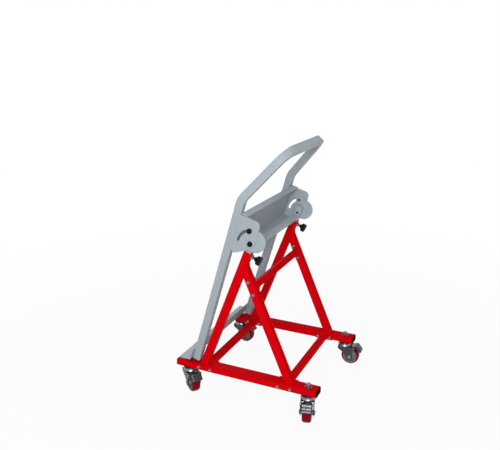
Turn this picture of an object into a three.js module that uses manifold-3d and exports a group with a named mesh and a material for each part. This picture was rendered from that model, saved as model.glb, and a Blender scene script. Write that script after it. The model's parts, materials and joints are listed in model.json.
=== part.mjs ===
// Sheet goods cart: a frame of two slanted uprights with a low ledge hangs by two pivots on a base
// with four casters, and tips back until it lies level at table height.
// Millimetres. +Z is up, +X is the cart's right-hand side and +Y its rear, where the handle is.
// The origin is on the floor, at the middle of the space that the whole cart takes up.

import * as THREE from "three";
import { mergeVertices } from "three/addons/utils/BufferGeometryUtils.js";
import Module from "manifold-3d";

const wasm = await Module();
wasm.setup();

// General sizes
const GAP = 0.3; // between pieces that touch
const DEGREE = Math.PI / 180;
const SIDES = { right: 1, left: -1 };
const LONG = 1500; // longer than any piece, for cutting tools
const MIDDLE_OF_FOOTPRINT = { x: 21, y: 18.5 }; // from the middle of the rails

// Base: rails, posts, braces and cross tubes
const RAIL = { width: 50, height: 25, wall: 2, length: 578, x: 231, bottom: 100 };
const RAIL_TOP = RAIL.bottom + RAIL.height;
const RAIL_CAP = { flange: 3, plug: 15, corner: 3 };
const CASTER_Y = { rear: 252, front: -244 };
const POST = { size: 30, wall: 2, x: 228, lean: 21.2 * DEGREE, topBelowPivot: 38 };
const BRACE = { size: 30, wall: 2, footY: 178.5, lean: 23.4 * DEGREE };
const CROSS_TUBE = { size: 25, wall: 2, y: 166 };
const UPPER_TUBE_Z = 475;
const FLANGE = { length: 75, height: 25, thickness: 4 };

// Pivot and stand heads
const PIVOT = { y: 26, z: 646 };
const STEM = { size: 25, wall: 2.2, below: 260, solidFrom: -30, roundCentre: 18.5 };
const HEAD_PLATE = { low: 241, high: 245, centreY: 16, centreZ: 9, radius: 42, lobe: 12 };
const SLOT = { radius: 48, width: 10.6, startWorld: 93 * DEGREE, sweep: 73.5 * DEGREE };
const HEAD_BAR = { height: 20, wall: 2, top: -9.5 };
const M10 = { radius: 5, hole: 5.3, head: 6.4, acrossFlats: 17, proud: 1.5 };

// Clamp knobs on the posts
const KNOB = {
  belowPivot: 52,
  radius: 17,
  lobeDepth: 2.2,
  lobes: 5,
  thickness: 14,
  middle: 47,
  edge: 2,
  neck: 6,
};
const CLAMP = { studRadius: 4, holeRadius: 4.3, nutAcrossFlats: 17, nutHeight: 8, neckRadius: 8 };

// Tilting frame
const FRAME_LEAN = 16.5 * DEGREE;
const UPRIGHT = { size: 30, wall: 2, outerFace: 249.4, front: -95, bottom: -551, top: 100 };
const UPRIGHT_X = UPRIGHT.outerFace - UPRIGHT.size / 2;
const UPRIGHT_N = UPRIGHT.front + UPRIGHT.size / 2;
const UPRIGHT_REAR = UPRIGHT.front + UPRIGHT.size;
const BRACKET = {
  low: 245.4,
  high: 249.4,
  top: 89.5,
  rear: 17,
  corner: 20,
  foot: [[UPRIGHT_REAR + GAP, -50], [-62, -54], [-54, -60], [-44, -54]],
  nose: [[-12, -33], [15, -9], [18, -4], [18.5, 8]],
};
const BEAM = { halfLength: 245, thickness: 3, top: 95.5, bottom: -44, rear: -36, bend: 4 };
const LEDGE = { halfLength: 268, thickness: 4, top: -510, bottom: -549, reach: 45, easing: 5 };
const HANDLE = { kneeU: 139, kneeBend: 60, topX: 185, topN: 12.5, topU: 337.5, topBend: 70 };
const HANDLE_SECTION = { chamfer: 2, steps: 60 };

// Casters
const WHEEL = { radius: 37.5, width: 34, tread: 8, trail: 27 };
const CORE = { bore: 5.3, hub: 9.5, hubHalf: 22.5, web: 10, rim: 5, rimHalf: 16, taper: 2 };
const TREAD_BED = 15.5; // half its width where it meets the core
const TREAD_EDGE = [[6, 0], [3, 2], [1, 5.5], [0, 11]]; // in from the radius, in from the side
const FORK = { inner: 23, outer: 26, front: -24, rear: 26, crownLow: 79, crownHigh: 82, skirt: 12 };
const FORK_LEG = { hub: 14, waist: [34, 62] };
const RACE = { radius: 28, topRadius: 24, rim: 3, top: 91.5 };
const CUP = { low: 92, top: RAIL.bottom - GAP, radius: 27, neck: 19, bore: 6.3, edge: 2.5 };
const CASTER_BOLT = { radius: 6, acrossFlats: 19, head: 8, washer: 13.5, washerHeight: 2, low: 93 };
const AXLE = { radius: 5, hole: 5.3, acrossFlats: 15, end: 30 };
const PEDAL = { pinS: 43, pinZ: 78, lobe: 6.5, barrel: 4.5, sheet: 2.5 };
const PEDAL_PIN = { radius: 3, hole: 3.3, half: 27.5 };
const PEDAL_NECK = { halfWidth: 20, start: [39, 82.5], knee: [56, 89] };
const PEDAL_TOE = { halfWidth: 22, tip: [76, 63] };
const BRAKE_SHOE = { s: [46, 54], halfWidth: 12, z: [72.8, 84] };
const CASTER_PLACES = [
  { name: "rear_right", x: RAIL.x, y: CASTER_Y.rear, yaw: 15 * DEGREE },
  { name: "rear_left", x: -RAIL.x, y: CASTER_Y.rear, yaw: 94 * DEGREE },
  { name: "front_right", x: RAIL.x, y: CASTER_Y.front, yaw: 52 * DEGREE },
  { name: "front_left", x: -RAIL.x, y: CASTER_Y.front, yaw: 85 * DEGREE },
];

// Finishes
const finish = (color, roughness, metalness) =>
  new THREE.MeshStandardMaterial({ color, roughness, metalness });
const RED_COAT = finish(0xc8101a, 0.35, 0);
const GREY_COAT = finish(0xa8b0b5, 0.35, 0);
const BLACK_PLASTIC = finish(0x17181a, 0.5, 0);
const BLACK_STEEL = finish(0x1c1c1e, 0.4, 0.8);
const ZINC = finish(0xb4b6b8, 0.35, 0.9);
const CASTER_STEEL = finish(0x6c6d70, 0.35, 0.9);
const TREAD_RUBBER = finish(0x8f0a1c, 0.45, 0);
const CORE_PLASTIC = finish(0x77797c, 0.5, 0);

// Reverses a closed surface that encloses a negative volume, so that its faces point out.
function facingOut(geometry) {
  const flat = geometry.index ? geometry.toNonIndexed() : geometry.clone();
  const position = flat.attributes.position;
  const corner = [new THREE.Vector3(), new THREE.Vector3(), new THREE.Vector3()];
  let volume = 0;
  for (let i = 0; i < position.count; i += 3) {
    corner.forEach((point, k) => point.fromBufferAttribute(position, i + k));
    volume += corner[0].dot(corner[1].clone().cross(corner[2])) / 6;
  }
  if (volume < 0) {
    for (let i = 0; i < position.count; i += 3) {
      corner.forEach((point, k) => point.fromBufferAttribute(position, i + k));
      position.setXYZ(i + 1, corner[2].x, corner[2].y, corner[2].z);
      position.setXYZ(i + 2, corner[1].x, corner[1].y, corner[1].z);
    }
  }
  flat.computeVertexNormals();
  return flat;
}

function solid(geometry) {
  const bare = facingOut(geometry);
  bare.deleteAttribute("normal");
  bare.deleteAttribute("uv");
  const merged = mergeVertices(bare, 1e-3);
  const vertProperties = new Float32Array(merged.attributes.position.array);
  const triVerts = new Uint32Array(merged.index.array);
  return new wasm.Manifold(new wasm.Mesh({ numProp: 3, vertProperties, triVerts }));
}

function geometryOf(body) {
  const mesh = body.getMesh();
  const geometry = new THREE.BufferGeometry();
  geometry.setAttribute("position", new THREE.BufferAttribute(mesh.vertProperties, 3));
  geometry.setIndex(new THREE.BufferAttribute(mesh.triVerts, 1));
  return geometry;
}

const join = (first, ...rest) =>
  geometryOf(rest.reduce((body, next) => body.add(solid(next)), solid(first)));
const cut = (first, ...tools) =>
  geometryOf(tools.reduce((body, tool) => body.subtract(solid(tool)), solid(first)));

function addMesh(group, name, geometry, material) {
  const mesh = new THREE.Mesh(facingOut(geometry), material.clone());
  mesh.name = name;
  group.add(mesh);
  return mesh;
}

function block(x, y, z) {
  const geometry = new THREE.BoxGeometry(x[1] - x[0], y[1] - y[0], z[1] - z[0]);
  return geometry.translate((x[0] + x[1]) / 2, (y[0] + y[1]) / 2, (z[0] + z[1]) / 2);
}

function rod(axis, radius, low, high, sides = 12) {
  const geometry = new THREE.CylinderGeometry(radius, radius, high - low, sides);
  geometry.translate(0, (low + high) / 2, 0);
  if (axis === "x") geometry.rotateZ(-Math.PI / 2);
  if (axis === "z") geometry.rotateX(Math.PI / 2);
  return geometry;
}

const hexagon = (axis, acrossFlats, low, high) =>
  rod(axis, acrossFlats / Math.sqrt(3), low, high, 6);

// The two X limits of a piece on one side of the cart, lower one first.
const span = (side, inner, outer) => (side > 0 ? [inner, outer] : [-outer, -inner]);

function roundedRectangle(width, height, radius, path = new THREE.Shape()) {
  const x = width / 2 - radius;
  const y = height / 2 - radius;
  path.absarc(x, y, radius, 0, Math.PI / 2, false);
  path.absarc(-x, y, radius, Math.PI / 2, Math.PI, false);
  path.absarc(-x, -y, radius, Math.PI, Math.PI * 1.5, false);
  path.absarc(x, -y, radius, Math.PI * 1.5, Math.PI * 2, false);
  path.closePath();
  return path;
}

// Drawn steel tube along +Z from z = low to z = high, open at both ends.
function tube(width, height, wall, low, high) {
  const shape = roundedRectangle(width, height, wall * 1.5);
  const bore = roundedRectangle(width - 2 * wall, height - 2 * wall, wall / 2, new THREE.Path());
  shape.holes.push(bore);
  const options = { depth: high - low, bevelEnabled: false, curveSegments: 1 };
  return new THREE.ExtrudeGeometry(shape, options).translate(0, 0, low);
}

// A plate whose outline is drawn in Y and Z, between two X limits.
function sidePlate(shape, x, curveSegments = 8) {
  const options = { depth: x[1] - x[0], bevelEnabled: false, curveSegments };
  const geometry = new THREE.ExtrudeGeometry(shape, options);
  const toYZ = new THREE.Matrix4().makeBasis(
    new THREE.Vector3(0, 1, 0),
    new THREE.Vector3(0, 0, 1),
    new THREE.Vector3(1, 0, 0),
  );
  return geometry.applyMatrix4(toYZ).translate(x[0], 0, 0);
}

// A plate whose outline is drawn in X and Z, between two Y limits.
function crossPlate(shape, y, curveSegments = 6) {
  const options = { depth: y[1] - y[0], bevelEnabled: false, curveSegments };
  const geometry = new THREE.ExtrudeGeometry(shape, options);
  return geometry.rotateX(Math.PI / 2).translate(0, y[1], 0);
}

const outline = (points) => new THREE.Shape(points.map(([x, y]) => new THREE.Vector2(x, y)));

// Carries a cutting tool from one group's space into another's.
function carried(geometry, from, to) {
  from.updateMatrixWorld();
  to.updateMatrixWorld();
  return geometry.applyMatrix4(from.matrixWorld).applyMatrix4(to.matrixWorld.clone().invert());
}

// The base, and inside it the space of the slanted posts: there the origin is on the pivot axis
// and z runs up along the post.
const base = new THREE.Group();
const postSpace = new THREE.Group();
postSpace.position.set(0, PIVOT.y, PIVOT.z);
postSpace.rotation.x = -POST.lean;
base.add(postSpace);
const everythingBelowRailTops = () => block([-LONG, LONG], [-LONG, LONG], [-LONG, RAIL_TOP + GAP]);

function addRails() {
  for (const [sideName, side] of Object.entries(SIDES)) {
    const rail = tube(RAIL.width, RAIL.height, RAIL.wall, -RAIL.length / 2, RAIL.length / 2);
    rail.rotateX(Math.PI / 2);
    const boltHoles = Object.values(CASTER_Y).map((y) =>
      rod("z", CUP.bore, -RAIL.height, RAIL.height).translate(0, y, 0),
    );
    const mesh = addMesh(base, `${sideName}_rail`, cut(rail, ...boltHoles), RED_COAT);
    mesh.position.set(side * RAIL.x, 0, RAIL.bottom + RAIL.height / 2);
    for (const [endName, end] of [["front", -1], ["rear", 1]]) {
      addRailCap(`${sideName}_rail_${endName}_cap`, side, end);
    }
  }
}

// Plastic cap: a thin flange over the tube's end and a plug inside it.
function addRailCap(name, side, end) {
  const inset = 2 * (RAIL.wall + GAP);
  const flange = new THREE.ExtrudeGeometry(
    roundedRectangle(RAIL.width - 2, RAIL.height - 2, RAIL_CAP.corner),
    { depth: RAIL_CAP.flange - 2, bevelThickness: 1, bevelSize: 1, bevelSegments: 1, curveSegments: 1 },
  ).translate(0, 0, 1);
  const plug = block(
    [(inset - RAIL.width) / 2, (RAIL.width - inset) / 2],
    [(inset - RAIL.height) / 2, (RAIL.height - inset) / 2],
    [-RAIL_CAP.plug, 1.5],
  );
  const cap = join(flange, plug).rotateX(end > 0 ? -Math.PI / 2 : Math.PI / 2);
  const mesh = addMesh(base, name, cap, BLACK_PLASTIC);
  const endFace = RAIL.length / 2 + GAP;
  mesh.position.set(side * RAIL.x, end * endFace, RAIL.bottom + RAIL.height / 2);
}

function addPosts() {
  for (const [sideName, side] of Object.entries(SIDES)) {
    const post = tube(POST.size, POST.size, POST.wall, -LONG / 2, -POST.topBelowPivot);
    post.translate(side * POST.x, 0, 0);
    const foot = carried(everythingBelowRailTops(), base, postSpace);
    const studHole = rod("y", CLAMP.holeRadius, 0, POST.size);
    studHole.translate(side * POST.x, 0, -KNOB.belowPivot);
    addMesh(postSpace, `${sideName}_post`, cut(post, foot, studHole), RED_COAT);
  }
}

// The braces lean forward from the rails and are mitred against the backs of the posts.
const braceSpace = new THREE.Group();
braceSpace.position.set(0, BRACE.footY, RAIL_TOP);
braceSpace.rotation.x = BRACE.lean;
base.add(braceSpace);

function addBraces() {
  for (const [sideName, side] of Object.entries(SIDES)) {
    const brace = tube(BRACE.size, BRACE.size, BRACE.wall, -BRACE.size * 2, LONG / 3);
    brace.translate(side * POST.x, 0, 0);
    const foot = carried(everythingBelowRailTops(), base, braceSpace);
    const postAndFront = block([-LONG, LONG], [-LONG, POST.size / 2 + GAP], [-LONG, LONG]);
    const mitre = carried(postAndFront, postSpace, braceSpace);
    addMesh(braceSpace, `${sideName}_brace`, cut(brace, foot, mitre), RED_COAT);
  }
}

// A tube along X with a bolting flange welded on each end; the bore runs right through.
function crossTube(halfLength) {
  const flanges = [-1, 1].map((side) =>
    block(
      span(side, halfLength - FLANGE.thickness, halfLength),
      [-FLANGE.length / 2, FLANGE.length / 2],
      [-FLANGE.height / 2, FLANGE.height / 2],
    ),
  );
  const size = CROSS_TUBE.size;
  const bore = size / 2 - CROSS_TUBE.wall;
  const outside = tube(size, size, CROSS_TUBE.wall, 1 - halfLength, halfLength - 1);
  outside.rotateY(Math.PI / 2);
  const joined = join(outside, ...flanges);
  return cut(joined, block([-LONG, LONG], [-bore, bore], [-bore, bore]));
}

function addCrossTubes() {
  const betweenRails = RAIL.x - RAIL.width / 2 - GAP;
  for (const [name, end] of [["front", -1], ["rear", 1]]) {
    const mesh = addMesh(base, `${name}_cross_tube`, crossTube(betweenRails), RED_COAT);
    mesh.position.set(0, end * CROSS_TUBE.y, RAIL.bottom + RAIL.height / 2);
  }
  const betweenBraces = POST.x - BRACE.size / 2 - GAP;
  const alongBrace = (UPPER_TUBE_Z - RAIL_TOP) / Math.cos(BRACE.lean);
  const upper = addMesh(braceSpace, "upper_cross_tube", crossTube(betweenBraces), RED_COAT);
  upper.rotation.x = Math.PI / 2; // its flanges lie along the braces
  upper.position.z = alongBrace;
}

// Star knob on a screw that passes through a weld nut and the post's rear wall.
function addClamps() {
  for (const [sideName, side] of Object.entries(SIDES)) {
    const rearFace = POST.size / 2 + GAP;
    const nut = hexagon("y", CLAMP.nutAcrossFlats, rearFace, rearFace + CLAMP.nutHeight);
    const nutHole = rod("y", CLAMP.holeRadius, 0, POST.size * 2);
    const nutMesh = addMesh(postSpace, `${sideName}_clamp_nut`, cut(nut, nutHole), ZINC);
    nutMesh.position.set(side * POST.x, 0, -KNOB.belowPivot);

    const petal = [];
    const pointsPerLobe = 6;
    const points = KNOB.lobes * pointsPerLobe;
    for (let i = 0; i < points; i += 1) {
      const angle = (2 * Math.PI * i) / points;
      const radius = KNOB.radius - KNOB.lobeDepth * (1 - Math.cos(KNOB.lobes * angle));
      petal.push([radius * Math.cos(angle), radius * Math.sin(angle)]);
    }
    const star = new THREE.ExtrudeGeometry(outline(petal), {
      depth: KNOB.thickness,
      bevelThickness: KNOB.edge,
      bevelSize: KNOB.edge / 2,
      bevelSegments: 1,
    });
    star.rotateX(-Math.PI / 2).translate(0, KNOB.middle - KNOB.thickness / 2, 0);
    const neckLow = KNOB.middle - KNOB.thickness / 2 - KNOB.edge - KNOB.neck;
    const neck = rod("y", CLAMP.neckRadius, neckLow, KNOB.middle);
    const stud = rod("y", CLAMP.studRadius, STEM.size / 2 + GAP, KNOB.middle);
    const knob = addMesh(postSpace, `${sideName}_clamp_knob`, join(star, neck, stud), BLACK_PLASTIC);
    knob.position.set(side * POST.x, 0, -KNOB.belowPivot);
  }
}

// A stem that slides in the post, with a round-nosed top and the flat pivot plate welded on its
// outer face. The plate is a disc with a smaller lobe round the slot bolt.
const toPostSpace = (y, z) => new THREE.Vector2(
  y * Math.cos(POST.lean) - z * Math.sin(POST.lean),
  y * Math.sin(POST.lean) + z * Math.cos(POST.lean),
);
const SLOT_BOLT = toPostSpace(
  SLOT.radius * Math.cos(SLOT.startWorld),
  SLOT.radius * Math.sin(SLOT.startWorld),
);

function headPlateOutline() {
  const disc = toPostSpace(HEAD_PLATE.centreY, HEAD_PLATE.centreZ);
  const toLobe = SLOT_BOLT.clone().sub(disc);
  const direction = toLobe.angle();
  const tangent = Math.acos((HEAD_PLATE.radius - HEAD_PLATE.lobe) / toLobe.length());
  const from = direction + tangent;
  const to = direction - tangent;
  const shape = new THREE.Shape();
  shape.absarc(disc.x, disc.y, HEAD_PLATE.radius, from, to + 2 * Math.PI, false);
  shape.absarc(SLOT_BOLT.x, SLOT_BOLT.y, HEAD_PLATE.lobe, to, from, false);
  shape.closePath();
  return shape;
}

function addStandHeads() {
  for (const [sideName, side] of Object.entries(SIDES)) {
    const half = STEM.size / 2;
    const stemX = [POST.x - half, POST.x + half];
    const nose = new THREE.Shape();
    nose.moveTo(-half, STEM.solidFrom);
    nose.lineTo(half, STEM.solidFrom);
    nose.absarc(0, STEM.roundCentre, half, 0, Math.PI, false);
    nose.closePath();
    const stem = tube(STEM.size, STEM.size, STEM.wall, -STEM.below, STEM.solidFrom + 1);
    stem.translate(side * POST.x, 0, 0);
    const top = sidePlate(nose, span(side, stemX[0], HEAD_PLATE.low + 0.5));
    const plate = sidePlate(headPlateOutline(), span(side, HEAD_PLATE.low, HEAD_PLATE.high));
    const pivotHole = rod("x", M10.hole, -LONG, LONG);
    const slotHole = rod("x", M10.hole, -LONG, LONG).translate(0, SLOT_BOLT.x, SLOT_BOLT.y);
    const head = cut(join(stem, top, plate), pivotHole, slotHole);
    addMesh(postSpace, `${sideName}_stand_head`, head, GREY_COAT);
  }
}

// Square-cornered tube between the two stems, a little below the pivots.
function addHeadBar() {
  const half = POST.x - STEM.size / 2 - GAP;
  const bar = tube(HEAD_BAR.height, STEM.size, HEAD_BAR.wall, -half, half);
  bar.rotateY(Math.PI / 2).translate(0, 0, HEAD_BAR.top - HEAD_BAR.height / 2);
  addMesh(postSpace, "head_bar", bar, GREY_COAT);
}

// Hexagon bolt along X: its head is outside the bracket, and its end stands proud of a tapped hole.
function headBolt(side, innerFace) {
  const headLow = BRACKET.high + GAP;
  const head = hexagon("x", M10.acrossFlats, ...span(side, headLow, headLow + M10.head));
  const shank = rod("x", M10.radius, ...span(side, innerFace - M10.proud, headLow + 1));
  return join(head, shank);
}

function addHeadBolts() {
  for (const [sideName, side] of Object.entries(SIDES)) {
    const stemFace = POST.x - STEM.size / 2;
    addMesh(postSpace, `${sideName}_pivot_bolt`, headBolt(side, stemFace), BLACK_STEEL);
    const slotBolt = headBolt(side, HEAD_PLATE.low);
    const mesh = addMesh(postSpace, `${sideName}_slot_bolt`, slotBolt, BLACK_STEEL);
    mesh.position.set(0, SLOT_BOLT.x, SLOT_BOLT.y);
  }
}

// The tilting frame's space: the origin is on the pivot axis, y is the rearward normal of the
// uprights' front faces and z runs up along the uprights.
const frame = new THREE.Group();
frame.position.set(0, PIVOT.y, PIVOT.z);
frame.rotation.x = -FRAME_LEAN;

function addUprights() {
  for (const [sideName, side] of Object.entries(SIDES)) {
    const upright = tube(UPRIGHT.size, UPRIGHT.size, UPRIGHT.wall, UPRIGHT.bottom, UPRIGHT.top);
    upright.translate(side * UPRIGHT_X, UPRIGHT_N, 0);
    addMesh(frame, `${sideName}_upright`, upright, GREY_COAT);
  }
}

// The handle's centre line. Its tube keeps one pair of faces square to the plane of the bow.
class HandlePath extends THREE.CurvePath {
  constructor(corners, bends, squareTo) {
    super();
    this.squareTo = squareTo;
    let start = corners[0];
    for (let i = 1; i < corners.length - 1; i += 1) {
      const into = corners[i].clone().sub(corners[i - 1]).normalize();
      const out = corners[i + 1].clone().sub(corners[i]).normalize();
      const turn = into.angleTo(out);
      const bend = bends[i - 1];
      const tangent = bend * Math.tan(turn / 2);
      const handle = (4 / 3) * bend * Math.tan(turn / 4);
      const arcStart = corners[i].clone().addScaledVector(into, -tangent);
      const arcEnd = corners[i].clone().addScaledVector(out, tangent);
      this.add(new THREE.LineCurve3(start, arcStart));
      this.add(new THREE.CubicBezierCurve3(
        arcStart,
        arcStart.clone().addScaledVector(into, handle),
        arcEnd.clone().addScaledVector(out, -handle),
        arcEnd,
      ));
      start = arcEnd;
    }
    this.add(new THREE.LineCurve3(start, corners[corners.length - 1]));
  }

  computeFrenetFrames(segments) {
    const frames = { tangents: [], normals: [], binormals: [] };
    for (let i = 0; i <= segments; i += 1) {
      const tangent = this.getTangentAt(i / segments).normalize();
      const along = this.squareTo.dot(tangent);
      const binormal = this.squareTo.clone().addScaledVector(tangent, -along).normalize();
      frames.tangents.push(tangent);
      frames.binormals.push(binormal);
      frames.normals.push(binormal.clone().cross(tangent));
    }
    return frames;
  }
}

function handleSweep(endU, shape) {
  const corner = (side, u) => new THREE.Vector3(side * UPRIGHT_X, UPRIGHT_N, u);
  const top = (side) => new THREE.Vector3(side * HANDLE.topX, HANDLE.topN, HANDLE.topU);
  const corners = [
    corner(1, endU),
    corner(1, HANDLE.kneeU),
    top(1),
    top(-1),
    corner(-1, HANDLE.kneeU),
    corner(-1, endU),
  ];
  const rise = new THREE.Vector3(0, HANDLE.topN - UPRIGHT_N, HANDLE.topU - HANDLE.kneeU);
  const squareTo = new THREE.Vector3(0, rise.z, -rise.y).normalize();
  const bends = [HANDLE.kneeBend, HANDLE.topBend, HANDLE.topBend, HANDLE.kneeBend];
  const extrudePath = new HandlePath(corners, bends, squareTo);
  return new THREE.ExtrudeGeometry(shape, { steps: HANDLE_SECTION.steps, extrudePath, curveSegments: 1 });
}

function addHandle() {
  const size = UPRIGHT.size;
  const half = size / 2;
  const inside = half - UPRIGHT.wall;
  const edge = half - HANDLE_SECTION.chamfer;
  const section = outline([
    [half, -edge], [half, edge], [edge, half], [-edge, half],
    [-half, edge], [-half, -edge], [-edge, -half], [edge, -half],
  ]);
  const bore = outline([[inside, -inside], [inside, inside], [-inside, inside], [-inside, -inside]]);
  const endU = UPRIGHT.top + GAP;
  const handle = cut(handleSweep(endU, section), handleSweep(endU - size, bore));
  addMesh(frame, "handle_bow", handle, GREY_COAT);
}

// Folded channel across the backs of the uprights, open to the rear.
function addBeam() {
  const front = UPRIGHT_REAR + GAP;
  const bendN = front + BEAM.bend;
  const high = BEAM.top - BEAM.bend;
  const low = BEAM.bottom + BEAM.bend;
  const insideBend = BEAM.bend - BEAM.thickness;
  const channel = new THREE.Shape();
  channel.moveTo(BEAM.rear, BEAM.top);
  channel.absarc(bendN, high, BEAM.bend, Math.PI / 2, Math.PI, false);
  channel.absarc(bendN, low, BEAM.bend, Math.PI, Math.PI * 1.5, false);
  channel.lineTo(BEAM.rear, BEAM.bottom);
  channel.lineTo(BEAM.rear, BEAM.bottom + BEAM.thickness);
  channel.absarc(bendN, low, insideBend, Math.PI * 1.5, Math.PI, true);
  channel.absarc(bendN, high, insideBend, Math.PI, Math.PI / 2, true);
  channel.lineTo(BEAM.rear, BEAM.top - BEAM.thickness);
  channel.closePath();
  const beam = sidePlate(channel, [-BEAM.halfLength, BEAM.halfLength], 2);
  addMesh(frame, "cross_beam", beam, GREY_COAT);
}

// Flat bracket on the back of an upright, with the pivot hole and the curved slot that limits
// the tilt: the slot bolt stands at its upper end at rest and at its front end when level.
function bracketOutline() {
  const [heel, footStart, footMiddle, footEnd] = BRACKET.foot;
  const [chin, lip, noseMiddle, noseEnd] = BRACKET.nose;
  const shape = new THREE.Shape();
  shape.moveTo(heel[0], BRACKET.top);
  shape.lineTo(...heel);
  shape.lineTo(...footStart);
  shape.quadraticCurveTo(...footMiddle, ...footEnd);
  shape.lineTo(...chin);
  shape.lineTo(...lip);
  shape.quadraticCurveTo(...noseMiddle, ...noseEnd);
  const cornerN = BRACKET.rear - BRACKET.corner;
  shape.absarc(cornerN, BRACKET.top - BRACKET.corner, BRACKET.corner, 0, Math.PI / 2, false);
  shape.closePath();

  const pivotHole = new THREE.Path();
  pivotHole.absarc(0, 0, M10.hole, 0, 2 * Math.PI, false);
  const slot = new THREE.Path();
  const start = SLOT.startWorld + FRAME_LEAN;
  const end = start + SLOT.sweep;
  const half = SLOT.width / 2;
  const slotEnd = (angle) => [SLOT.radius * Math.cos(angle), SLOT.radius * Math.sin(angle)];
  slot.absarc(0, 0, SLOT.radius + half, start, end, false);
  slot.absarc(...slotEnd(end), half, end, end + Math.PI, false);
  slot.absarc(0, 0, SLOT.radius - half, end, start, true);
  slot.absarc(...slotEnd(start), half, start + Math.PI, start + 2 * Math.PI, false);
  slot.closePath();
  shape.holes.push(pivotHole, slot);
  return shape;
}

function addBrackets() {
  for (const [sideName, side] of Object.entries(SIDES)) {
    const bracket = sidePlate(bracketOutline(), span(side, BRACKET.low, BRACKET.high), 5);
    addMesh(frame, `${sideName}_bracket`, bracket, GREY_COAT);
  }
}

// One folded plate across the front of both uprights. Its forward leg is level at rest.
function addLedge() {
  const back = UPRIGHT.front - GAP;
  const face = back - LEDGE.thickness;
  const forward = new THREE.Vector2(-Math.cos(FRAME_LEAN), -Math.sin(FRAME_LEAN));
  const down = new THREE.Vector2(-forward.y, forward.x);
  const inner = new THREE.Vector2(face, LEDGE.bottom);
  const tipTop = inner.clone().addScaledVector(forward, LEDGE.reach);
  const tipUnder = tipTop.clone().addScaledVector(down, LEDGE.thickness);
  const foldLength = (back - tipUnder.x) / -forward.x;
  const fold = tipUnder.clone().addScaledVector(forward, -foldLength);
  const beforeFold = fold.clone().addScaledVector(forward, LEDGE.easing);
  const shape = new THREE.Shape();
  shape.moveTo(back, LEDGE.top);
  shape.lineTo(face, LEDGE.top);
  shape.lineTo(inner.x, inner.y);
  shape.lineTo(tipTop.x, tipTop.y);
  shape.lineTo(tipUnder.x, tipUnder.y);
  shape.lineTo(beforeFold.x, beforeFold.y);
  shape.quadraticCurveTo(fold.x, fold.y, back, fold.y + LEDGE.easing);
  shape.closePath();
  const ledge = sidePlate(shape, [-LEDGE.halfLength, LEDGE.halfLength], 2);
  addMesh(frame, "ledge", ledge, GREY_COAT);
}

// One caster. In its own space +X is the trailing direction and the swivel axis is x = y = 0.
function addCaster({ name, x, y, yaw }) {
  const caster = new THREE.Group();
  caster.position.set(x, y, 0);
  caster.rotation.z = yaw;
  base.add(caster);
  addMesh(caster, `${name}_mount_bolt`, mountBolt(), ZINC);
  addMesh(caster, `${name}_swivel_cup`, swivelCup(), CASTER_STEEL);
  addMesh(caster, `${name}_fork`, fork(), CASTER_STEEL);
  const tread = addMesh(caster, `${name}_tread`, wheelTread(), TREAD_RUBBER);
  const core = addMesh(caster, `${name}_wheel_core`, wheelCore(), CORE_PLASTIC);
  const axle = addMesh(caster, `${name}_axle`, axleBolt(), CASTER_STEEL);
  for (const piece of [tread, core, axle]) {
    piece.position.set(WHEEL.trail, 0, WHEEL.radius);
  }
  addMesh(caster, `${name}_brake_pedal`, brakePedal(), CASTER_STEEL);
}

// Bolt from the top of the rail into the swivel cup, with its washer.
function mountBolt() {
  const seat = RAIL_TOP + GAP;
  const washerTop = seat + CASTER_BOLT.washerHeight;
  const washer = rod("z", CASTER_BOLT.washer, seat, washerTop, 18);
  const head = hexagon("z", CASTER_BOLT.acrossFlats, washerTop - 0.5, washerTop + CASTER_BOLT.head);
  const shank = rod("z", CASTER_BOLT.radius, CASTER_BOLT.low, seat + 0.5);
  return join(washer, head, shank);
}

function ringAbout(profile, segments) {
  const points = [...profile, profile[0]].map(([radius, height]) => new THREE.Vector2(radius, height));
  return new THREE.LatheGeometry(points, segments);
}

function swivelCup() {
  const { radius, neck, bore, low, top, edge } = CUP;
  const profile = [
    [bore, low],
    [radius - edge, low],
    [radius, low + edge],
    [radius, top - 2 * edge],
    [neck, top - edge],
    [neck, top],
    [bore, top],
  ];
  return ringAbout(profile, 22).rotateX(Math.PI / 2);
}

// Crown plate with the round ball race on top and a tapering leg on each side of the wheel.
function fork() {
  const leg = new THREE.Shape();
  leg.moveTo(FORK.front, FORK.crownHigh);
  leg.lineTo(FORK.front, FORK.crownHigh - FORK.skirt);
  leg.absarc(WHEEL.trail, WHEEL.radius, FORK_LEG.hub, Math.PI * 1.15, Math.PI * 2, false);
  leg.lineTo(...FORK_LEG.waist);
  leg.absarc(PEDAL.pinS, PEDAL.pinZ, PEDAL.lobe, -Math.PI / 3, Math.PI / 2, false);
  leg.lineTo(FORK.rear, FORK.crownHigh);
  leg.closePath();
  const axleHole = new THREE.Path();
  axleHole.absarc(WHEEL.trail, WHEEL.radius, AXLE.hole, 0, 2 * Math.PI, false);
  const pinHole = new THREE.Path();
  pinHole.absarc(PEDAL.pinS, PEDAL.pinZ, PEDAL_PIN.hole, 0, 2 * Math.PI, false);
  leg.holes.push(axleHole, pinHole);
  const crown = block(
    [FORK.front, FORK.rear],
    [-FORK.outer, FORK.outer],
    [FORK.crownLow, FORK.crownHigh],
  );
  const dome = [
    [0, FORK.crownLow],
    [RACE.radius, FORK.crownLow],
    [RACE.radius, FORK.crownLow + RACE.rim],
    [RACE.topRadius, RACE.top],
    [0, RACE.top],
  ];
  const race = ringAbout(dome, 24).rotateX(Math.PI / 2);
  const legs = [-1, 1].map((side) => crossPlate(leg, span(side, FORK.inner, FORK.outer), 5));
  return join(crown, race, ...legs);
}

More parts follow.
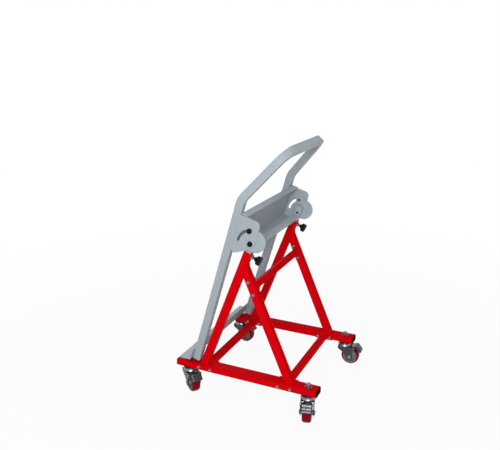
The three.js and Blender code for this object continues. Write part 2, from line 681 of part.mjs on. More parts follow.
// Cast tread with rounded shoulders.
function wheelTread() {
  const half = WHEEL.width / 2;
  const inside = WHEEL.radius - WHEEL.tread;
  const shoulder = TREAD_EDGE.map(([fromRadius, fromSide]) => [WHEEL.radius - fromRadius, half - fromSide]);
  const otherShoulder = shoulder.map(([radius, height]) => [radius, -height]);
  const bed = [[inside, TREAD_BED], [inside, -TREAD_BED]];
  const profile = [...bed, ...otherShoulder, ...shoulder.reverse()];
  return ringAbout(profile, 32);
}

// Moulded core: a hub, a thin web and a rim under the tread.
function wheelCore() {
  const outside = WHEEL.radius - WHEEL.tread - GAP;
  const inside = outside - CORE.rim;
  const side = [
    [CORE.hub, CORE.hubHalf],
    [CORE.hub + 1, CORE.web / 2],
    [inside, CORE.web / 2],
    [inside + CORE.taper, CORE.rimHalf],
    [outside, CORE.rimHalf],
  ];
  const otherSide = side.map(([radius, height]) => [radius, -height]);
  const bore = [[CORE.bore, CORE.hubHalf], [CORE.bore, -CORE.hubHalf]];
  const profile = [...bore, ...otherSide, ...side.reverse()];
  return ringAbout(profile, 20);
}

function axleBolt() {
  const shank = rod("y", AXLE.radius, -AXLE.end, AXLE.end);
  const seat = FORK.outer + GAP;
  const head = hexagon("y", AXLE.acrossFlats, seat, AXLE.end);
  const nut = hexagon("y", AXLE.acrossFlats, -AXLE.end, -seat);
  return join(shank, head, nut);
}

// Outline of a straight sheet between two points, with its thickness to the right of its run.
function sheetStrip(from, to) {
  const start = new THREE.Vector2(...from);
  const end = new THREE.Vector2(...to);
  const along = end.clone().sub(start).normalize();
  const inward = new THREE.Vector2(along.y, -along.x).multiplyScalar(PEDAL.sheet);
  return new THREE.Shape([start, end, end.clone().add(inward), start.clone().add(inward)]);
}

// Bent sheet pedal: a narrow neck between the fork's legs, a wide steep toe plate behind the
// wheel, a shoe over the tread, and the pin that the pedal turns on.
function brakePedal() {
  const { halfWidth: neckHalf, start, knee } = PEDAL_NECK;
  const neck = crossPlate(sheetStrip(start, knee), [-neckHalf, neckHalf]);
  const toeWidth = [-PEDAL_TOE.halfWidth, PEDAL_TOE.halfWidth];
  const toe = crossPlate(sheetStrip(knee, PEDAL_TOE.tip), toeWidth);
  const shoeWidth = [-BRAKE_SHOE.halfWidth, BRAKE_SHOE.halfWidth];
  const shoe = block(BRAKE_SHOE.s, shoeWidth, BRAKE_SHOE.z);
  const place = (piece) => piece.translate(PEDAL.pinS, 0, PEDAL.pinZ);
  const barrel = place(rod("y", PEDAL.barrel, -neckHalf, neckHalf));
  const pin = place(rod("y", PEDAL_PIN.radius, -PEDAL_PIN.half, PEDAL_PIN.half));
  return join(neck, toe, shoe, barrel, pin);
}

addRails();
addPosts();
addBraces();
addCrossTubes();
addClamps();
addStandHeads();
addHeadBar();
addHeadBolts();
addUprights();
addHandle();
addBeam();
addBrackets();
addLedge();
CASTER_PLACES.forEach(addCaster);

const cart = new THREE.Group();
cart.name = "sheet_goods_cart";
cart.add(base, frame);
cart.position.set(-MIDDLE_OF_FOOTPRINT.x, -MIDDLE_OF_FOOTPRINT.y, 0);

export default cart;
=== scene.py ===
# %% [markdown]
# # Dressing a sheet goods cart
# The cart is a braced base of red tube on four casters. A grey frame with a ledge at its foot hangs
# on the base by two pivots, and tips back until it lies level. The parts arrive as finished solids,
# each on the body that it moves with. This lesson gives every solid its surface, and models the
# small and round things that a picture needs.

# %% Load the cart's solids
import json
import math

import bmesh
import bpy
from mathutils import Matrix, Vector

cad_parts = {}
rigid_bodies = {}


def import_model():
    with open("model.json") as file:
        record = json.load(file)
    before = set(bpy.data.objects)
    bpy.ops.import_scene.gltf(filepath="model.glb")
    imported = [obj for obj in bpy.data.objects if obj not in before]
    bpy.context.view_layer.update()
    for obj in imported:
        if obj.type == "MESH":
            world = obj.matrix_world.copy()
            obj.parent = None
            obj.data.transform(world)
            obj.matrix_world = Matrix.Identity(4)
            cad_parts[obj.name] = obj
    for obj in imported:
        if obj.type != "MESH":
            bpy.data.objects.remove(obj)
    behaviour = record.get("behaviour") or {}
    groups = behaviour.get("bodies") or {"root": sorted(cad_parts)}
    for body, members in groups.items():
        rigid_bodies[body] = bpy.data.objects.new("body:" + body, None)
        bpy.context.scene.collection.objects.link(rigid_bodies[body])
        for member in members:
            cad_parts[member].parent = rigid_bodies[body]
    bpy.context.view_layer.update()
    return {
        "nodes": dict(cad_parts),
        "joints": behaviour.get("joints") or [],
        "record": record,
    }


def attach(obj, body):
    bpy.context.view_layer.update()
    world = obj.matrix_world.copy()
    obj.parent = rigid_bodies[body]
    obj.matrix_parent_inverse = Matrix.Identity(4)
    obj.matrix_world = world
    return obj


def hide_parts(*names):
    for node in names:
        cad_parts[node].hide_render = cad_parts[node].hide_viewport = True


for leftover in list(bpy.data.objects):
    bpy.data.objects.remove(leftover)

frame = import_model()
nodes = frame["nodes"]
joints = {joint["name"]: joint for joint in frame["joints"]}
slot_of = {part["node"]: part["material_slot"] for part in frame["record"]["subparts"]}

# %% [markdown]
# ## Places to build in
# A workshop drawing of this cart is in millimetres and has a view square to each tilted part. The
# same can be had in Blender with a matrix per part, which carries drawing points into the scene.
# The joints say where the pivots, posts and casters are, so no place is measured twice.

# %% Spaces of the base, the posts, the tilting frame and the casters
MM = 0.001
CASTERS = ("rear_right", "rear_left", "front_right", "front_left")
SIDES = {"right": 1, "left": -1}
FRAME_LEAN = math.radians(16.5)
REAR_CASTER_Y = 252.0  # behind the middle of the rails


def space(origin, x_axis, z_axis):
    """Carries millimetres in a part's own axes into the scene."""
    x = Vector(x_axis).normalized()
    z = Vector(z_axis).normalized()
    turn = Matrix((x, z.cross(x), z)).transposed().to_4x4()
    return Matrix.Translation(origin) @ turn @ Matrix.Scale(MM, 4)


def joint_point(name):
    return Vector(joints[name]["pos_m"])


rear_axle = (joint_point("rear_right_swivel") + joint_point("rear_left_swivel")) / 2
middle = Vector((rear_axle.x, rear_axle.y - REAR_CASTER_Y * MM, 0))
pivot = Vector((middle.x, *joint_point("frame_tilt").yz))
right = Vector((1, 0, 0))
up = Vector((0, 0, 1))
post_axis = Vector(joints["height_adjust"]["axis"])
base_space = space(middle, right, up)
post_space = space(pivot, right, post_axis)
tilt_space = space(pivot, right, (0, math.sin(FRAME_LEAN), math.cos(FRAME_LEAN)))
caster_space = {}
for place in CASTERS:
    ground = joint_point(f"{place}_swivel") * Vector((1, 1, 0))
    trail = Vector(joints[f"{place}_roll"]["axis"]).cross(up)
    caster_space[place] = space(ground, trail, up)
print("pivot at", [round(v / MM) for v in pivot], "mm")

# %% [markdown]
# ## Colours and shader nodes
# A paint chart gives colours as sRGB hex values, and shaders work in linear light, so one
# function turns one into the other. A second function adds a shader node, sets it and links it.

# %% Colour and node helpers
MIX_A, MIX_B, MIX_COLOUR = 6, 7, 2  # the colour sockets of the Mix node


def linear(hex_colour):
    channels = [int(hex_colour[i:i + 2], 16) / 255 for i in (1, 3, 5)]
    curved = [c / 12.92 if c <= 0.04045 else ((c + 0.055) / 1.055) ** 2.4 for c in channels]
    return (*curved, 1.0)


def per_mm(size):
    """Texture scale that gives features of this size in millimetres."""
    return 1.0 / (size * MM)


def add_node(tree, kind, settings=None, links=None):
    node = tree.nodes.new(kind)
    for name, value in (settings or {}).items():
        if isinstance(name, int) or name in node.inputs:
            node.inputs[name].default_value = value
        else:
            setattr(node, name, value)
    for name, source in (links or {}).items():
        tree.links.new(source, node.inputs[name])
    return node


def blank_material(name):
    material = bpy.data.materials.new(name)
    material.use_nodes = True
    material.node_tree.nodes.clear()
    place = add_node(material.node_tree, "ShaderNodeTexCoord").outputs["Object"]
    return material, material.node_tree, place


def close_material(tree, settings, links):
    shader = add_node(tree, "ShaderNodeBsdfPrincipled", settings, links)
    add_node(tree, "ShaderNodeOutputMaterial", None, {"Surface": shader.outputs["BSDF"]})


print("mid grey in linear light:", round(linear("#808080")[0], 3))

# %% [markdown]
# ## Powder coat
# Both the red base and the grey frame are steel with polyester powder baked on. The powder melts
# into an even gloss with a faint waviness, called orange peel, and lies a little thinner in some
# places. Two noises give that: a broad one for film thickness and a fine one for the waviness.

# %% Red and grey powder coat
RESIN_IOR = 1.5  # polyester, nylon, phenolic and polyurethane all lie near this
NOISE_LOW, NOISE_HIGH = 0.3, 0.7  # nearly all of a noise lies between these
PEEL_MM = 3.2  # spacing of the waves in the film; real peel is finer, and would not show
PEEL_DEPTH_MM, PEEL_STRENGTH = 0.1, 0.12
FILM_MM = 70.0  # distance between thick and thin places


def powder_coat(name, thick_hex, thin_hex, smooth, rough, shine):
    material, tree, place = blank_material(name)
    film = add_node(
        tree,
        "ShaderNodeTexNoise",
        {"Scale": per_mm(FILM_MM), "Detail": 3.0},
        {"Vector": place},
    )
    colour = add_node(
        tree,
        "ShaderNodeMix",
        {"data_type": "RGBA", MIX_A: linear(thick_hex), MIX_B: linear(thin_hex)},
        {"Factor": film.outputs[0]},
    )
    waves = add_node(
        tree,
        "ShaderNodeTexNoise",
        {"Scale": per_mm(PEEL_MM), "Detail": 1.0},
        {"Vector": place},
    )
    gloss = add_node(
        tree,
        "ShaderNodeMapRange",
        {"From Min": NOISE_LOW, "From Max": NOISE_HIGH, "To Min": smooth, "To Max": rough},
        {"Value": film.outputs[0]},
    )
    bump = add_node(
        tree,
        "ShaderNodeBump",
        {"Strength": PEEL_STRENGTH, "Distance": PEEL_DEPTH_MM * MM},
        {"Height": waves.outputs[0]},
    )
    close_material(
        tree,
        {"IOR": RESIN_IOR, "Specular IOR Level": shine},
        {
            "Base Color": colour.outputs[MIX_COLOUR],
            "Roughness": gloss.outputs["Result"],
            "Normal": bump.outputs["Normal"],
        },
    )
    return material


# the softboxes reflected in a shinier red would wash it out
red_coat = powder_coat("powder_coat_red", "#DC0410", "#D0030D", smooth=0.34, rough=0.46, shine=0.004)
grey_coat = powder_coat("powder_coat_grey", "#A7B1B7", "#9EA8AE", smooth=0.32, rough=0.44, shine=0.15)
print("powder coats:", red_coat.name, grey_coat.name)

# %% [markdown]
# ## Plated and blackened steel
# Bolts and nuts are bright zinc plate: a metal with a slightly cloudy, bluish passivated skin. The
# pressings of the casters are a darker plate, which paints the dark reflections that they show, and
# the pivot bolts are black oxide, which is the same metal with a dark, oily surface. All are made by
# tumbling in baths, so the skin has small blotches instead of a brushed grain. Painted shade darkens
# all three in their hollows.

# %% Zinc plate, shade-darkened caster plate and black oxide
BLOTCH_MM = 6.0
SCUFF_MM = 1.2
SCUFF_DEPTH_MM, SCUFF_STRENGTH = 0.05, 0.2
SHADE_REACH_MM = 14.0  # how near a wall has to be for painted shade to fall beside it
SHADE_RAYS = 8
FULLY_SHADED, UNSHADED = 0.25, 0.8  # openness at which the plate is painted fully shaded, and not shaded at all


def bath_steel(name, light_hex, dark_hex, painted_shade_hex, smooth, rough):
    material, tree, place = blank_material(name)
    blotch = add_node(
        tree,
        "ShaderNodeTexNoise",
        {"Scale": per_mm(BLOTCH_MM), "Detail": 4.0},
        {"Vector": place},
    )
    plating = add_node(
        tree,
        "ShaderNodeMix",
        {"data_type": "RGBA", MIX_A: linear(light_hex), MIX_B: linear(dark_hex)},
        {"Factor": blotch.outputs[0]},
    )
    # painted shade: near other surfaces the plating colour darkens towards the shade colour
    openness = add_node(
        tree,
        "ShaderNodeAmbientOcclusion",
        {"samples": SHADE_RAYS, "Distance": SHADE_REACH_MM * MM},
    )
    lit_share = add_node(
        tree,
        "ShaderNodeMapRange",
        {"From Min": FULLY_SHADED, "From Max": UNSHADED},
        {"Value": openness.outputs["AO"]},
    )
    colour = add_node(
        tree,
        "ShaderNodeMix",
        {"data_type": "RGBA", MIX_A: linear(painted_shade_hex)},
        {"Factor": lit_share.outputs["Result"], MIX_B: plating.outputs[MIX_COLOUR]},
    )
    skin = add_node(
        tree,
        "ShaderNodeMapRange",
        {"From Min": NOISE_LOW, "From Max": NOISE_HIGH, "To Min": smooth, "To Max": rough},
        {"Value": blotch.outputs[0]},
    )
    scuff = add_node(
        tree,
        "ShaderNodeTexNoise",
        {"Scale": per_mm(SCUFF_MM), "Detail": 2.0},
        {"Vector": place},
    )
    bump = add_node(
        tree,
        "ShaderNodeBump",
        {"Strength": SCUFF_STRENGTH, "Distance": SCUFF_DEPTH_MM * MM},
        {"Height": scuff.outputs[0]},
    )
    close_material(
        tree,
        {"Metallic": 1.0},
        {
            "Base Color": colour.outputs[MIX_COLOUR],
            "Roughness": skin.outputs["Result"],
            "Normal": bump.outputs["Normal"],
        },
    )
    return material


# the third colour of each steel is the painted shade in its hollows
zinc = bath_steel("zinc_plate", "#989CA1", "#6C7076", "#2E2E30", smooth=0.2, rough=0.36)
# the caster plate is darker than bright zinc to paint the dark reflections that the pressings show
shade_darkened_plate = bath_steel("caster_plate_darkened_for_shade", "#525458", "#35373B", "#0F0F10", smooth=0.18, rough=0.34)
black_oxide = bath_steel("black_oxide_steel", "#26272B", "#18191C", "#0C0C0D", smooth=0.34, rough=0.5)
print("steels:", zinc.name, shade_darkened_plate.name, black_oxide.name)

# %% [markdown]
# ## Moulded plastics
# The rail caps are moulded black nylon with a fine spark-eroded grain that kills its gloss. The star
# knobs are phenolic, pressed in a polished mould, so they shine a little. The wheel cores are grey
# nylon, and the treads are crimson polyurethane, cast smooth on the core and a little waxy. One
# function holds the grain; colour and gloss make the four materials.

# %% Nylon, phenolic and polyurethane
GRAIN_MM = 0.9  # a real moulded grain is finer, and would not show
GRAIN_DEPTH_MM = 0.08
WEAR_MM = 14.0  # spacing of the scuffed patches
WEAR_LOW, WEAR_HIGH = 0.45, 0.75  # noise at which scuffing begins, and is complete
SOFT_DEPTH_MM = 2.0  # how far light travels inside the plastic


def moulded(name, fresh_hex, scuffed_hex, smooth, rough, grain, shine=0.5, subsurface=0.0):
    material, tree, place = blank_material(name)
    wear = add_node(
        tree,
        "ShaderNodeTexNoise",
        {"Scale": per_mm(WEAR_MM), "Detail": 5.0},
        {"Vector": place},
    )
    share = add_node(
        tree,
        "ShaderNodeMapRange",
        {"From Min": WEAR_LOW, "From Max": WEAR_HIGH},
        {"Value": wear.outputs[0]},
    )
    colour = add_node(
        tree,
        "ShaderNodeMix",
        {"data_type": "RGBA", MIX_A: linear(fresh_hex), MIX_B: linear(scuffed_hex)},
        {"Factor": share.outputs["Result"]},
    )
    gloss = add_node(
        tree,
        "ShaderNodeMapRange",
        {"To Min": smooth, "To Max": rough},
        {"Value": share.outputs["Result"]},
    )
    pits = add_node(
        tree,
        "ShaderNodeTexNoise",
        {"Scale": per_mm(GRAIN_MM), "Detail": 2.0},
        {"Vector": place},
    )
    bump = add_node(
        tree,
        "ShaderNodeBump",
        {"Strength": grain, "Distance": GRAIN_DEPTH_MM * MM},
        {"Height": pits.outputs[0]},
    )
    close_material(
        tree,
        {
            "IOR": RESIN_IOR,
            "Specular IOR Level": shine,
            "Subsurface Weight": subsurface,
            "Subsurface Scale": SOFT_DEPTH_MM * MM,
        },
        {
            "Base Color": colour.outputs[MIX_COLOUR],
            "Roughness": gloss.outputs["Result"],
            "Normal": bump.outputs["Normal"],
        },
    )
    return material


black_nylon = moulded(
    "moulded_black_nylon", "#08090C", "#101216", smooth=0.55, rough=0.7, grain=0.3, shine=0.004
)
black_phenolic = moulded(
    "pressed_black_phenolic", "#0A0D13", "#12161C", smooth=0.3, rough=0.45, grain=0.15, shine=0.07
)
grey_nylon = moulded("moulded_grey_nylon", "#7B7E82", "#6A6D71", smooth=0.45, rough=0.6, grain=0.3)
crimson_urethane = moulded(
    "cast_crimson_polyurethane", "#800214", "#66020F",
    smooth=0.32, rough=0.5, grain=0.2, shine=0.06, subsurface=0.05,
)
print("plastics:", black_nylon.name, black_phenolic.name, grey_nylon.name, crimson_urethane.name)

# %% [markdown]
# ## Surfaces for the solids
# Tubes, plates and the folded beam already have their true shape. A real tube has drawn corners
# and a real plate has a broken edge, so a small bevel catches the light there. The solids come in
# as triangles: a weld and a planar dissolve join them into whole faces before the bevel, and
# weighted normals keep the broad faces flat. The plastic caps keep their triangles, because the
# ring round each plug would become a face with a hole in it.

# %% Give every solid its finish
FINISHES = {
    "red_coat": red_coat,
    "grey_coat": grey_coat,
    "black_plastic": black_nylon,
    "black_steel": black_oxide,
    "zinc_steel": zinc,
    "caster_steel": shade_darkened_plate,
    "red_tread": crimson_urethane,
    "grey_core": grey_nylon,
}
BROKEN_EDGE_MM = 0.7
BROKEN_FROM = 50  # degrees between two faces from which their edge is broken
SAME_POINT_MM = 0.005
SAME_PLANE = 0.5  # degrees within which triangles belong to one face


def soften_edges(piece, width_mm, from_angle):
    bevel = piece.modifiers.new("broken_edge", "BEVEL")
    bevel.width = width_mm * MM
    bevel.segments = 2
    bevel.limit_method = "ANGLE"
    bevel.angle_limit = math.radians(from_angle)
    bevel.harden_normals = False
    normals = piece.modifiers.new("flat_faces", "WEIGHTED_NORMAL")
    normals.keep_sharp = True


for name, node in nodes.items():
    for material_slot in node.material_slots:
        material_slot.material = FINISHES[slot_of[name]]
    weld = node.modifiers.new("join_corners", "WELD")
    weld.merge_threshold = SAME_POINT_MM * MM
    if slot_of[name] != "black_plastic":
        faces = node.modifiers.new("whole_faces", "DECIMATE")
        faces.decimate_type = "DISSOLVE"
        faces.angle_limit = math.radians(SAME_PLANE)
    soften_edges(node, BROKEN_EDGE_MM, BROKEN_FROM)
print("finished", len(nodes), "solids with", len(FINISHES), "finishes")

# %% [markdown]
# ## Two ways to make a round or bent piece
# Nearly everything else on the cart is either turned, such as a wheel or a washer, or follows a
# line, such as the hand bow. Both are lofts: equal loops of points with faces between neighbours.
# A turned piece wraps its last loop to the first, and a bent one is capped at both ends.

# %% Loft and lathe
def loft(rings, wrap=False):
    count = len(rings[0])
    points = [Vector(p) for ring in rings for p in ring]
    polygons = []
    for i in range(len(rings) if wrap else len(rings) - 1):
        here = i * count
        there = (i + 1) % len(rings) * count
        for k in range(count):
            after = (k + 1) % count
            polygons.append((here + k, here + after, there + after, there + k))
    if not wrap:
        last = (len(rings) - 1) * count
        polygons.append(tuple(reversed(range(count))))
        polygons.append(tuple(range(last, last + count)))
    return points, polygons


def lathe(profile, segments=48):
    """Turns (radius, height) points about z; the outline closes on itself or along the axis."""
    rings = []
    for i in range(segments):
        angle = 2 * math.pi * i / segments
        rings.append([(r * math.cos(angle), r * math.sin(angle), h) for r, h in profile])
    return loft(rings, wrap=True)


print("a turned rod has", len(lathe([(0, 0), (1, 0), (1, 1), (0, 1)])[1]), "faces")

# %% Washers, hexagons and threads
WASHER_EASE = 0.3  # rounding of a washer's rim
TURNED_SHARE = 0.97  # of the flats, where the cone of a bolt head begins
CONE = math.radians(30)
THREAD_DEPTH = 0.6  # of the pitch


def washer(inner, outer, low, high):
    ease = min(WASHER_EASE, (high - low) / 4)
    return lathe([
        (inner, low), (outer - ease, low), (outer, low + ease),
        (outer, high - ease), (outer - ease, high), (inner, high),
    ], 32)


def hexagon(across_flats, low, high, chamfered=(False, True)):
    """A hexagon whose corners are turned off by a cone, as on a bolt head."""
    samples = 48
    flat = across_flats / 2
    turned = TURNED_SHARE * flat
    slope = math.tan(CONE)
    loops = [[], [], [], []]
    for i in range(samples):
        angle = 2 * math.pi * i / samples
        off_flat = (angle + math.pi / 6) % (math.pi / 3) - math.pi / 6
        radius = flat / math.cos(off_flat)
        cone = (radius - turned) * slope
        for loop, reach, height in (
            (loops[0], turned if chamfered[0] else radius, low),
            (loops[1], radius, low + (cone if chamfered[0] else 0.0)),
            (loops[2], radius, high - (cone if chamfered[1] else 0.0)),
            (loops[3], turned if chamfered[1] else radius, high),
        ):
            loop.append((reach * math.cos(angle), reach * math.sin(angle), height))
    return loft(loops)


def thread(radius, low, high, pitch):
    """Screw thread drawn as ridges, one for each turn."""
    depth = THREAD_DEPTH * pitch
    profile = [(0.0, low), (radius - depth, low)]
    turns = max(1, int((high - low) / pitch))
    for turn in range(turns):
        profile.append((radius, low + (turn + 0.5) * pitch))
        profile.append((radius - depth, low + (turn + 1) * pitch))
    profile.append((0.0, low + turns * pitch))
    return lathe(profile, 24)


print("a bolt head has", len(hexagon(1, 0, 1)[1]), "faces")

# %% Turn lofts into pieces of the cart
STITCH_MM = 0.0005  # points nearer than this become one
PRESSED_FROM = 40  # degrees from which the edge of a pressing is rounded


def make_piece(name, shapes, place, body, material, sharp=35, edge_mm=0.0):
    """Joins lofts into a piece on a body; edges of more than sharp degrees stay crisp."""
    points = []
    polygons = []
    for shape_points, shape_polygons in shapes:
        start = len(points)
        points += [place @ Vector(p) for p in shape_points]
        polygons += [tuple(start + k for k in polygon) for polygon in shape_polygons]
    mesh = bpy.data.meshes.new(name)
    mesh.from_pydata(points, [], polygons)
    cleaned = bmesh.new()
    cleaned.from_mesh(mesh)
    bmesh.ops.remove_doubles(cleaned, verts=cleaned.verts, dist=STITCH_MM * MM)
    bmesh.ops.dissolve_degenerate(cleaned, edges=cleaned.edges, dist=STITCH_MM * MM)
    bmesh.ops.recalc_face_normals(cleaned, faces=cleaned.faces)
    cleaned.to_mesh(mesh)
    cleaned.free()
    mesh.shade_smooth()
    mesh.set_sharp_from_angle(angle=math.radians(sharp))
    mesh.materials.append(material)
    piece = bpy.data.objects.new(name, mesh)
    bpy.context.scene.collection.objects.link(piece)
    if edge_mm:
        soften_edges(piece, edge_mm, PRESSED_FROM)
    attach(piece, body)
    return piece


print("points of a piece nearer than", STITCH_MM, "mm become one")

# %% [markdown]
# ## The hand bow
# The bow is one length of 30 mm square tube, bent four times and welded on top of the uprights. A
# curve with a bevel profile would twist its square section at the bends. Here the section is set
# square to the plane of the bow at each step instead, as a tube bender holds it.

# %% Bend the hand bow
TUBE_MM = 30.0
DRAWN_CORNER_MM = 3.0
UPRIGHT_X = 234.4
UPRIGHT_N = -80.0  # n is square to the frame and points to its rear, and u runs up along it
BOW_FOOT_U = 100.3
BOW_KNEE_U = 139.0
BOW_TOP = (185.0, 12.5, 337.5)  # x, n and u of the corner on the right
BOW_KNEE_BEND = 60.0
BOW_TOP_BEND = 70.0
BOW_STEP = 3.0  # length of one facet in a bend


def bent_line(corners, bends, step):
    """Points along straight runs joined by arcs of the given radii, in millimetres."""
    points = [corners[0]]
    for before, corner, after, bend in zip(corners, corners[1:], corners[2:], bends):
        into = (corner - before).normalized()
        out = (after - corner).normalized()
        turn = into.angle(out)
        axis = into.cross(out).normalized()
        arc_start = corner - into * bend * math.tan(turn / 2)
        centre = arc_start + axis.cross(into) * bend
        pieces = max(2, math.ceil(bend * turn / step))
        for i in range(pieces + 1):
            swing = Matrix.Rotation(turn * i / pieces, 3, axis)
            points.append(centre + swing @ (arc_start - centre))
    points.append(corners[-1])
    return points


def rounded_square(size, corner, per_corner=4):
    half = size / 2 - corner
    loop = []
    for quarter, (sx, sy) in enumerate(((1, 1), (-1, 1), (-1, -1), (1, -1))):
        for i in range(per_corner + 1):
            angle = (quarter + i / per_corner) * math.pi / 2
            loop.append((sx * half + corner * math.cos(angle), sy * half + corner * math.sin(angle)))
    return loop


def swept(line, section, square_to):
    rings = []
    for i, point in enumerate(line):
        ahead = line[min(i + 1, len(line) - 1)] - line[max(i - 1, 0)]
        along = ahead.normalized()
        second = (square_to - along * square_to.dot(along)).normalized()
        first = second.cross(along)
        rings.append([point + first * x + second * y for x, y in section])
    return loft(rings)


bow_corners = [
    Vector((UPRIGHT_X, UPRIGHT_N, BOW_FOOT_U)),
    Vector((UPRIGHT_X, UPRIGHT_N, BOW_KNEE_U)),
    Vector(BOW_TOP),
    Vector((-BOW_TOP[0], *BOW_TOP[1:])),
    Vector((-UPRIGHT_X, UPRIGHT_N, BOW_KNEE_U)),
    Vector((-UPRIGHT_X, UPRIGHT_N, BOW_FOOT_U)),
]
bow_rise = Vector((0, BOW_TOP[1] - UPRIGHT_N, BOW_TOP[2] - BOW_KNEE_U))
bow_normal = Vector((0, bow_rise.z, -bow_rise.y)).normalized()
bow_bends = (BOW_KNEE_BEND, BOW_TOP_BEND, BOW_TOP_BEND, BOW_KNEE_BEND)
bow_line = bent_line(bow_corners, bow_bends, BOW_STEP)
bow = make_piece(
    "hand_bow",
    [swept(bow_line, rounded_square(TUBE_MM, DRAWN_CORNER_MM), bow_normal)],
    tilt_space,
    "tilt_frame",
    grey_coat,
)
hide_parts("handle_bow")
print("hand bow of", len(bow_line), "stations")

# %% [markdown]
# ## Pivot and slot bolts
# Each side of the frame turns on a black M10 bolt, and a second one runs in the curved slot and
# stops the tilt. Both screw into a tapped hole, so only the head, its washer and the end of the
# shank show. A bolt is a few lofts on one axis: a hexagon with its corners turned off, a ring and a
# rod.

# %% Black bolts at the stand heads
BRACKET_FACE = 249.4
PLATE_BACK = 241.0
STEM_INSIDE = 215.5
SHANK_PROUD = 1.5
INTO_HEAD = 2.0  # how far a shank runs on inside its washer and head
SEAT_GAP = 0.1  # keeps a washer or nut just off the face that it lies on
WASHER_SHARE = 0.58  # a washer's radius, of the flats on it
POINT_SHARE = 0.2  # the chamfer at a shank's end, of its radius
M10_FLATS, M10_RADIUS = 17.0, 5.0
M10_HEAD, M10_WASHER = 5.0, 1.4
SLOT_BOLT_RADIUS = 48.0
SLOT_BOLT_ANGLE = math.radians(93)


def bolt_head(face, flats, radius, head, plate):
    """Washer on a face and a hexagon head on the washer, along z."""
    seat = face + plate
    return [
        washer(radius, flats * WASHER_SHARE, face + SEAT_GAP, seat),
        hexagon(flats, seat, seat + head),
    ]


def bolt_shank(radius, low, high):
    point = radius * POINT_SHARE
    return lathe([(0, low), (radius - point, low), (radius, low + point), (radius, high), (0, high)], 24)


slot_bolt_way = Vector((0, math.cos(SLOT_BOLT_ANGLE), math.sin(SLOT_BOLT_ANGLE)))
slot_bolt_offset = slot_bolt_way * SLOT_BOLT_RADIUS * MM
for side, sign in SIDES.items():
    for kind, centre, inner in (
        ("pivot", pivot, STEM_INSIDE),
        ("slot", pivot + slot_bolt_offset, PLATE_BACK),
    ):
        bolt = make_piece(
            f"{side}_{kind}_bolt_set",
            [
                *bolt_head(BRACKET_FACE, M10_FLATS, M10_RADIUS, M10_HEAD, M10_WASHER),
                bolt_shank(M10_RADIUS, inner - SHANK_PROUD, BRACKET_FACE + INTO_HEAD),
            ],
            space(centre, up, right * sign),
            "stand_heads",
            black_oxide,
        )
        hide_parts(f"{side}_{kind}_bolt")
print("pivot and slot bolts on", len(SIDES), "sides")

# %% [markdown]
# ## Clamp knobs
# A five-lobed knob on the back of each post drives a screw against the stem and holds the height.
# The lobes are a cosine on a circle. Rings of that outline, drawn in at both ends, give the soft
# edges and the slightly domed face of a moulded knob.

# %% Star knobs with their screws
KNOB_RADIUS = 18.0
KNOB_LOBES = 5
KNOB_LOBE_DEPTH = 2.2
KNOB_MIDDLE = 47.0
KNOB_BELOW_PIVOT = 52.0
# radius, and distance from the post's axis
KNOB_NECK = ((0, 30), (7.2, 30), (7.8, 31), (8.6, 38.5), (0, 38.5))
SCREW_RADIUS, SCREW_PITCH = 4.0, 1.25
SCREW_LOW, SCREW_HIGH = 13.0, 31.0
POST_X = 228.0


def star_ring(scale, height):
    samples = 80
    ring = []
    for i in range(samples):
        angle = 2 * math.pi * i / samples
        lobe = KNOB_LOBE_DEPTH * (1 - math.cos(KNOB_LOBES * angle))
        radius = (KNOB_RADIUS - lobe) * scale
        ring.append((radius * math.cos(angle), radius * math.sin(angle), height))
    return ring


KNOB_RINGS = (  # share of the outline, and height from the knob's middle
    (0.62, -9.0), (0.86, -8.7), (0.95, -7.6), (1.0, -5.6),
    (1.0, 4.6), (0.97, 6.8), (0.9, 8.2), (0.74, 8.9), (0.4, 9.3),
)
for side, sign in SIDES.items():
    star = loft([star_ring(scale, KNOB_MIDDLE + height) for scale, height in KNOB_RINGS])
    neck = lathe(KNOB_NECK, 40)
    knob_space = post_space @ Matrix.Translation((sign * POST_X, 0, -KNOB_BELOW_PIVOT))
    rearward = knob_space @ Matrix.Rotation(-math.pi / 2, 4, "X")
    knob = make_piece(
        f"{side}_star_knob",
        [star, neck],
        rearward,
        f"{side}_clamp",
        black_phenolic,
        sharp=40,
    )
    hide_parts(f"{side}_clamp_knob")
    make_piece(
        f"{side}_clamp_screw",
        [thread(SCREW_RADIUS, SCREW_LOW, SCREW_HIGH, SCREW_PITCH)],
        rearward,
        f"{side}_clamp",
        zinc,
    )
print("star knobs:", len(SIDES))

# %% [markdown]
# ## Casters
# Each caster is a swivel cup under the rail, a pressed fork with the ball race, a wheel of grey
# nylon with a cast tread, an axle bolt and a brake pedal. The wheel comes first: its tread and core
# are turned from half profiles, mirrored about the middle of the wheel.

# %% Wheels and axles
WHEEL_RADIUS = 37.5
WHEEL_HALF = 17.0
SHOULDER, SHOULDER_WIDTH = 7.6, 10.5
TREAD_INNER, TREAD_STEP = 29.5, 1.5
CORE_RADIUS = 29.2
TRAIL = 27.0  # from the swivel's axis back to the axle
LEG_INNER, LEG_OUTER = 23.0, 26.0
AXLE_RADIUS, AXLE_FLATS = 5.0, 15.0
AXLE_HEAD, AXLE_WASHER = 3.4, 1.0
AXLE_END, AXLE_PROUD = 30.0, 1.0
HUB_HALF = 22.5


def arc(centre, radius, start, end, steps, stretch=1.0):
    """Points on an arc in degrees; stretch makes it an ellipse along the second axis."""
    points = []
    for i in range(steps + 1):
        angle = math.radians(start + (end - start) * i / steps)
        across = centre[0] + radius * math.cos(angle)
        points.append((across, centre[1] + stretch * radius * math.sin(angle)))
    return points


def both_ends(half_profile):
    """Adds the mirror image of a profile that ends at its middle."""
    return half_profile + [(radius, -height) for radius, height in reversed(half_profile)]


